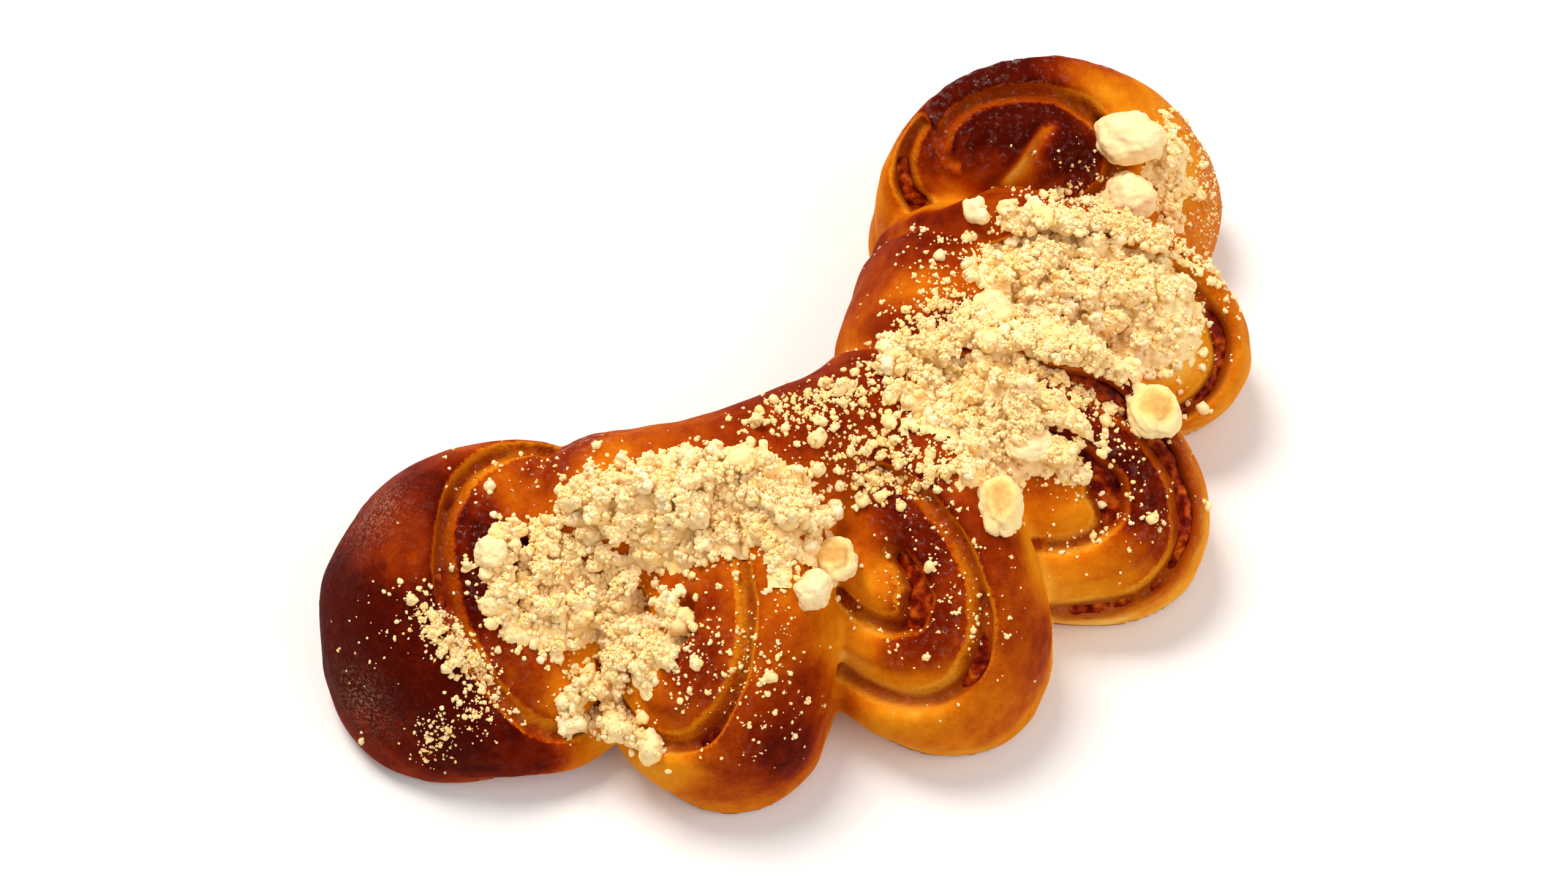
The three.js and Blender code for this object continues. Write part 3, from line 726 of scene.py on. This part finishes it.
# ==== The streusel bed =====================================================================
# Crumble of butter, sugar and flour, strewn thickly over the faces and the valleys between the
# slices. Under the loose grains it lies as one sandy blanket, baked onto the dough.
# Drifts: middle x, y, half length, half width, turn in degrees, thickness in millimetres.
DRIFTS = {
    "end slice": (-42.4, -45, 11, 10.2, -10, 3.0), "over its crust": (-56, -58, 9, 3, -41, 0.9),
    "second slice, top": (-14, -35, 20, 9.5, 3, 3.2),
    "between the first two": (-29, -49, 5, 11, 0, 2.4),
    "first two, top": (-33, -35, 7, 9, 0, 2.0), "notch": (-36, -62, 4.5, 6, 0, 1.8),
    "second slice, low layer": (-28, -67, 8, 3.5, -45, 1.8),
    "second slice, core": (-22.5, -56, 6, 8, 0, 2.0),
    "third slice, top": (4, -38, 6, 8, 10, 2.0), "behind the third": (34, -27, 6, 5, 0, 1.8),
    "fourth slice": (38, -17, 20, 8.5, -12, 3.0), "fourth slice, inner end": (26, -6, 11, 6, 12, 1.9),
    "between the fourth and the fifth": (47, -5, 18, 6, -12, 3.0), "fifth slice": (57, 12, 22, 13, -4, 3.2),
    "fifth slice, inner end": (38, 1, 10, 6, 20, 2.0), "behind the fifth": (57, 35, 9, 2.5, 0, 1.4),
    "sixth slice": (75, 44, 6, 10, 0, 1.7), "sixth slice, low": (60, 36, 9, 4, 0, 1.6),
    "beside the third": (-1, -44, 4, 7, 10, 1.5), "fold of the fifth": (52, 22.5, 12, 3, -3, 3.6),
    "deep in the notch": (-30, -58, 3, 5, 0, 3.0),
}
# Crests where less of it stayed, likewise.
CRESTS = {
    "fourth slice": (51, -9.5, 10, 2.4, -14, 2.6), "fourth slice, further": (66, -14, 8, 4, -40, 2.0),
    "fifth slice": (74, 24, 10, 2.4, -28, 2.0), "third slice": (16, -30, 10, 3, -12, 2.0),
}


def heaped(places, x, y):
    """How high the highest of the heaps is at a place."""
    depth = np.zeros(len(x))
    for cx, cy, a, b, turn, thick in places.values():
        c, n = cos(radians(turn)), sin(radians(turn))
        u = ((x - cx) * c + (y - cy) * n) / a
        v = ((y - cy) * c - (x - cx) * n) / b
        depth = np.maximum(depth, thick * np.exp(-(u ** 2 + v ** 2) ** 2))
    return depth


def drift_at(x, y):
    """How thickly the streusel lies over a place."""
    return heaped(DRIFTS, x, y) - heaped(CRESTS, x, y)


def grains(points, size, seed):
    """Round grains from 0 to 1 high, about that many millimetres apart."""
    near = [noise.voronoi(Vector((p[0] / size + seed, p[1] / size, p[2] / size)))[0][0]
            for p in points]
    return np.sqrt(np.maximum(0, 1 - np.minimum(1, np.array(near) * 1.5) ** 2))


def blanket(points):
    """The thickness of the bed, with holes where the crust shows through."""
    ragged = noise_at(points, 6, 4.0) * 0.8 + noise_at(points, 2.8, 6.0) * 0.7
    ragged += noise_at(points, 1.5, 3.0) * 0.4
    return drift_at(*points[:, :2].T) * 0.8 + ragged - 0.75


# The bed starts as a copy of the skin, where it isn't too steep to hold crumble. Where it is
# thick it fills the hollows. Its relief is grains of 3.6, 1.7 and 1 mm, and its edges sink in.
STEEP = 0.3  # how far up a normal points where crumble begins to slide off
bm = bmesh.new()
bm.from_mesh(bare)
thick = blanket(skin_points)
shown = (thick > 0) & (eased_normals[:, 2] > STEEP - 0.15 * np.clip(thick, 0, 2))
over = np.clip(thick * 1.2 - 0.1, 0, 1) * (hollow > 0)
for vertex, eased_to, share in zip(bm.verts, eased_points, over):
    vertex.co = vertex.co.lerp(Vector(eased_to), share)
unseen = [vertex for vertex, is_shown in zip(bm.verts, shown) if not is_shown]
bmesh.ops.delete(bm, geom=unseen, context="VERTS")
bmesh.ops.subdivide_edges(bm, edges=bm.edges, cuts=1, use_grid_fill=True)
bed = into_scene(bm, "bun_streusel_bed")
points = points_of(bed.data)
normals = normals_of(bed.data)
thick = blanket(points)
relief = 0.5 * grains(points, 3.6, 2.0) + 0.6 * grains(points, 1.7, 1.0)
relief += 0.25 * grains(points, 1.0, 5.0)
lift = np.clip(thick * 0.7, -0.3, 1.0) - 0.4 + relief * np.clip(thick * 1.2 + 0.2, 0, 1)
lift -= 1.2 * np.clip(1 - (normals[:, 2] - STEEP) / STEEP, 0, 1)
points += normals * lift[:, None]
set_points(bed.data, points)
# Painted shade: the bed is darker orange low between its grains and paler on their tops.
keep(bed.data, "tint", np.clip(relief / 1.4, 0, 1))

# Butter streusel: sugar and flour in butter, dull and pale, golden where it has browned, with a grit of 0.7
# mm and little knobs of 0.9 mm. Its tint also holds painted light and shade: paler on the tops of crumbs,
# lumps and grains of the bed, darker orange low between and under them.
sandy, crumble = blank("butter streusel")
spot = node(sandy, "ShaderNodeTexCoord").outputs["Object"]
tint = node(sandy, "ShaderNodeAttribute", attribute_name="tint").outputs["Fac"]
grit = node(sandy, "ShaderNodeTexNoise",
            {"Vector": spot, "Scale": 1 / (0.7 * MM), "Detail": 4, "Roughness": 0.7})
patch = node(sandy, "ShaderNodeTexNoise", {"Vector": spot, "Scale": 1 / (4 * MM), "Detail": 2})
tint_with_painted_light = node(sandy, "ShaderNodeMath", {0: tint, 1: 0.55}, operation="MULTIPLY")
mixed = node(sandy, "ShaderNodeMath", {0: grit.outputs["Fac"], 1: 0.35, 2: tint_with_painted_light.outputs[0]},
             operation="MULTIPLY_ADD")
baked = node(sandy, "ShaderNodeMath", {0: patch.outputs["Fac"], 1: 0.35, 2: mixed.outputs[0]},
             operation="MULTIPLY_ADD")
buttery = ramp(sandy, baked.outputs[0], [
    (0.1, "#cf9450"), (0.25, "#eeb264"), (0.4, "#ffd684"), (0.6, "#ffde9a"), (0.8, "#ffe2aa"),
    (1.0, "#ffeac4")])
sandy.node_tree.links.new(buttery, crumble.inputs["Base Color"])
knob = node(sandy, "ShaderNodeTexVoronoi",
            {"Vector": spot, "Scale": 1 / (0.9 * MM), "Smoothness": 0.4}, feature="SMOOTH_F1")
knobbly = node(sandy, "ShaderNodeMath",
               {0: knob.outputs["Distance"], 1: -1.0, 2: grit.outputs["Fac"]},
               operation="MULTIPLY_ADD")
rough = node(sandy, "ShaderNodeBump",
             {"Height": knobbly.outputs[0], "Strength": 0.25, "Distance": 0.3 * MM})
sandy.node_tree.links.new(rough.outputs[0], crumble.inputs["Normal"])
crumble.inputs["Roughness"].default_value = 0.8
crumble.inputs["Specular IOR Level"].default_value = 0.1
bed.data.materials.append(sandy)
bed_tree = BVHTree.FromPolygons([Vector(p) for p in points],
                                [tuple(f.vertices) for f in bed.data.polygons])
into_frame(bed)
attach(bed, "root")


# ==== The lumps of streusel ================================================================
# The biggest bits of crumble, as large as berries: kneaded balls and discs of butter dough that
# kept together, knobbly all over, pressed a little into what they lie on.
def ball(size, bumps, seed):
    """A knobbly ball with half sizes in millimetres round the middle of the layout."""
    bm = bmesh.new()
    bmesh.ops.create_icosphere(bm, subdivisions=5, radius=1)
    unit = np.array([v.co for v in bm.verts])
    shape = 1 + 0.22 * noise_at(unit * 10, 7, seed) + bumps * (grains(unit * 5, 3.2, seed) - 0.5)
    shape += bumps * 0.7 * (grains(unit * 5, 1.6, seed) - 0.5)
    for vertex, point in zip(bm.verts, unit * np.array(size) * shape[:, None]):
        vertex.co = point
    return bm


KNOBBLY = 0.09  # how high the knobs stand, as a share of a lump's size
THICKER = 1.15  # how much thicker a lump is than its solid, most of it underneath
PRESSED = 0.12  # share of its half height that it lies deeper than that
TOASTED = [1, 4, 5]  # the lumps with a browner flat top
TOAST = 1.1  # how much browner that is
TOASTED_PART = 0.72  # share of the half size that it covers

for number in range(1, 10):
    low, high = (np.array(corner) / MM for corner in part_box(f"lump_{number}"))
    half = (high - low) / 2
    half[2] = half[2] * THICKER
    bm = ball(half * 0.97, KNOBBLY, number * 3.0)
    middle = (low + high) / 2 + MIDDLE
    bmesh.ops.translate(bm, verts=bm.verts, vec=middle + (0, 0, -half[2] * PRESSED))
    lump = into_scene(bm, f"bun_lump_{number}")
    points = (points_of(lump.data) - middle) / half
    off_axis = np.hypot(points[:, 0], points[:, 1])
    top = np.exp(-(off_axis / TOASTED_PART) ** 4) * (points[:, 2] > 0)
    # Painted light: each lump is paler towards its top and darker underneath, as if lit from above. The
    # toasted ones are also browner on their flat tops.
    keep(lump.data, "tint", 0.65 + 0.2 * points[:, 2] - (TOAST if number in TOASTED else 0) * top)
    lump.data.materials.append(sandy)
    into_frame(lump)
    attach(lump, "root")
    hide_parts(f"lump_{number}")


# ==== The loose crumbs =====================================================================
# Everything smaller: knobbly clumps of 2 to 5 mm, crumbs of 1 to 2 mm that lie against them and
# on top, grains of about 1 mm, and finer sand, which has rolled furthest over the bare crust.
chance = np.random.default_rng(7)
grounds = [dough_tree, bed_tree]  # what a crumb can come to rest on

# Where crumbs lie singly on bare crust: middle x, y, half length, half width, turn in degrees,
# and how many crumbs, grains and bits of sand.
SPRINKLES = {
    "end slice, over the crust": (-57, -57, 9, 3.4, -41, 40, 160, 240),
    "end slice, low": (-61, -69, 5, 2.5, 0, 0, 24, 120),
    "end slice, bottom": (-53, -66, 4, 4, 0, 2, 22, 50),
    "end slice, left": (-70, -54, 9, 10, 0, 0, 4, 40),
    "end slice, top": (-48, -26, 10, 5, 20, 1, 14, 40),
    "second slice": (-4, -63, 8, 11, 0, 4, 50, 130),
    "second slice, layers": (-14, -60, 6, 10, 0, 5, 30, 70),
    "back, middle": (7, -16, 13, 5, 15, 24, 160, 160),
    "back, next to the fifth": (27, 3, 9, 5, 40, 14, 90, 120),
    "third slice, top": (19, -27, 14, 5.5, -12, 60, 220, 180),
    "third slice": (27, -48, 13, 13, 0, 3, 46, 140),
    "fourth slice, crest": (52, -10, 16, 4, -14, 30, 160, 180),
    "fourth slice": (58, -28, 12, 9, 0, 4, 40, 80),
    "fifth slice, crest": (66, 24, 18, 3.5, -16, 20, 180, 240),
    "fifth slice, back": (25, 15, 10, 11, 0, 1, 14, 40),
    "fifth slice, inner end": (24, -6, 8, 5, 0, 5, 50, 100),
    "sixth slice": (60, 38, 10, 5, 0, 4, 50, 100),
    "sixth slice, rim": (84, 45, 5, 14, 10, 0, 40, 300),
}


def drop(x, y):
    """Where something that falls on the bun at a place comes to rest, and which way is out."""
    found = [t.ray_cast(Vector((x, y, 100)), Vector((0, 0, -1))) for t in grounds]
    found = [f for f in found if f[0] is not None]
    return max(found, key=lambda f: f[0].z)[:2] if found else (None, None)


def crumb_shapes(subdivisions, knobs, count):
    """Vertices and triangles of a few knobbly crumbs of radius 1."""
    shapes = []
    for k in range(count):
        bm = bmesh.new()
        bmesh.ops.create_icosphere(bm, subdivisions=subdivisions, radius=1)
        unit = np.array([v.co for v in bm.verts])
        shape = 0.85 + knobs * grains(unit, 0.8, 7.0 * k) + knobs * 0.7 * noise_at(unit, 0.9, 11.0 * k)
        shapes.append((unit * shape[:, None], np.array([[v.index for v in f.verts] for f in bm.faces])))
        bm.free()
    return shapes


TOP = 45.3  # no heap is higher than this
PROUD = 0.3  # share of its radius that the middle of a crumb lies over what it rests on


def strewn(name, spots, shapes):
    """One mesh of crumbs at spots of x, y, radius and tint. What falls later can rest on it."""
    all_points, all_faces, all_tints, count = [], [], [], 0
    for x, y, radius, tint in spots:
        at, out = drop(x, y)
        if at is None or out.z < 0.05 or at.z + radius > TOP:
            continue
        points, faces = shapes[chance.integers(len(shapes))]
        spin = Matrix.Rotation(chance.uniform(0, 2 * pi), 3, Vector(chance.normal(size=3)).normalized())
        stretch = chance.uniform(0.75, 1.2, 3) * radius
        points = (points * stretch) @ np.array(spin)
        # Painted light: each crumb is paler towards its top and darker orange underneath, as if lit from
        # above.
        painted_lit_top = 0.3 * points[:, 2] / radius
        points += np.array(at) + np.array(out) * radius * PROUD
        all_points.append(points)
        all_faces.append(faces + count)
        all_tints.append(tint + painted_lit_top)
        count += len(points)
    mesh = bpy.data.meshes.new(name)
    mesh.from_pydata(np.concatenate(all_points), [], np.concatenate(all_faces).tolist())
    grounds.append(BVHTree.FromPolygons([v.co for v in mesh.vertices],
                                        [tuple(f.vertices) for f in mesh.polygons]))
    thing = bpy.data.objects.new(name, mesh)
    bpy.context.scene.collection.objects.link(thing)
    keep(mesh, "tint", np.concatenate(all_tints))
    mesh.materials.append(sandy)
    into_frame(thing)
    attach(thing, "root")


def some_in(area, radii, browner=0.0):
    """A spot in an ellipse, thicker towards its middle, with a radius that is mostly small."""
    cx, cy, a, b, turn = area[:5]
    u, v = chance.normal(size=2) * 0.55
    c, n = cos(radians(turn)), sin(radians(turn))
    radius = radii[0] + (radii[1] - radii[0]) * chance.uniform() ** 2
    x, y = cx + u * a * c - v * b * n, cy + u * a * n + v * b * c
    return x, y, radius, chance.uniform(0.1, 0.8) - browner


def scatter(count, radii, kind=None):
    """Spots on the drifts, by how much each holds, and that kind's share of every sprinkle."""
    drifts = list(DRIFTS.values())
    held = np.array([a * b * thick for _, _, a, b, _, thick in drifts])
    share = held / held.sum()
    spots = [some_in(drifts[chance.choice(len(drifts), p=share)], radii) for _ in range(count)]
    kept = drift_at(*np.array(spots)[:, :2].T) > chance.uniform(-0.4, 1.1, count)
    spots = [one for one, stays in zip(spots, kept) if stays]
    if kind is not None:
        spots += [some_in(area, radii, 0.1) for area in SPRINKLES.values() for _ in range(area[kind])]
    return spots


def against(spots, most, radii):
    """Smaller ones that lie against each of the spots."""
    beside = []
    for x, y, radius, tint in spots:
        for _ in range(chance.integers(1, most)):
            angle = chance.uniform(0, 2 * pi)
            away = radius * chance.uniform(0.6, 1.3)
            beside.append((x + cos(angle) * away, y + sin(angle) * away,
                           radius * chance.uniform(*radii), tint))
    return beside


# Each kind lies among and against the next larger; of the crumbs and the grains only the last few thousand
# are strewn. Each kind lies among and against the next larger, in numbers that one mesh can hold.
KNOBS = 0.4  # how high the knobs of a crumb stand, as a share of its radius
clumps = scatter(340, (1.1, 2.5))
strewn("bun_clumps", clumps, crumb_shapes(3, KNOBS, 6))
crumbs = against(clumps, 5, (0.3, 0.6)) + scatter(1900, (0.5, 1.2), 5)
strewn("bun_crumbs", crumbs[-2350:], crumb_shapes(2, KNOBS, 8))
fine = (against(crumbs, 3, (0.3, 0.6)) + scatter(3200, (0.25, 0.6), 6))[-6800:]
strewn("bun_grains", fine, crumb_shapes(1, KNOBS, 8))
sand = against(fine[-2200:], 3, (0.4, 0.7)) + scatter(4000, (0.12, 0.35), 7)
strewn("bun_sand", sand, crumb_shapes(1, KNOBS, 8))


# ==== Floor, light and camera ==============================================================
# A pale floor, a big soft lamp behind to the left and a weaker one in front, and a camera that
# looks down on the bun at 60 degrees.
floor_bm = bmesh.new()
bmesh.ops.create_grid(floor_bm, x_segments=1, y_segments=1, size=3)
ground = into_scene(floor_bm, "floor")
paper, matt = blank("white card")
matt.inputs["Base Color"].default_value = colour("#f4f2ef")
matt.inputs["Roughness"].default_value = 0.9
ground.data.materials.append(paper)


def lamp(name, stands, aim, size, power, tint):
    """A round soft lamp that stands at one point and shines at another."""
    light = bpy.data.lights.new(name, "AREA")
    light.shape = "DISK"
    light.size = size
    light.energy = power
    light.color = colour(tint)[:3]
    thing = bpy.data.objects.new(name, light)
    bpy.context.scene.collection.objects.link(thing)
    thing.location = stands
    thing.rotation_euler = (Vector(aim) - Vector(stands)).to_track_quat("-Z", "Y").to_euler()


lamp("key", (-0.26, 0.3, 0.78), (0, 0, 0), 0.4, 6.6, "#fffaf2")
lamp("fill", (0.6, -0.3, 0.7), (0, 0, 0), 0.8, 3.2, "#ffffff")

world = bpy.data.worlds.new("studio")
bpy.context.scene.world = world
world.use_nodes = True
world.node_tree.nodes["Background"].inputs["Color"].default_value = (1, 1, 1, 1)
world.node_tree.nodes["Background"].inputs["Strength"].default_value = 0.5
bpy.context.scene.view_settings.view_transform = "Standard"

camera = bpy.data.cameras.new("camera")
camera.sensor_width = 36
camera.lens = 52.73
eye = bpy.data.objects.new("camera", camera)
bpy.context.scene.collection.objects.link(eye)
AWAY = 450  # millimetres from the camera to the middle of the layout
TILT = radians(30)  # of the camera from straight down
eye.location = (np.array([0, -AWAY * sin(TILT), AWAY * cos(TILT)]) - MIDDLE) * MM
eye.rotation_euler = (TILT, 0, 0)
bpy.context.scene.camera = eye
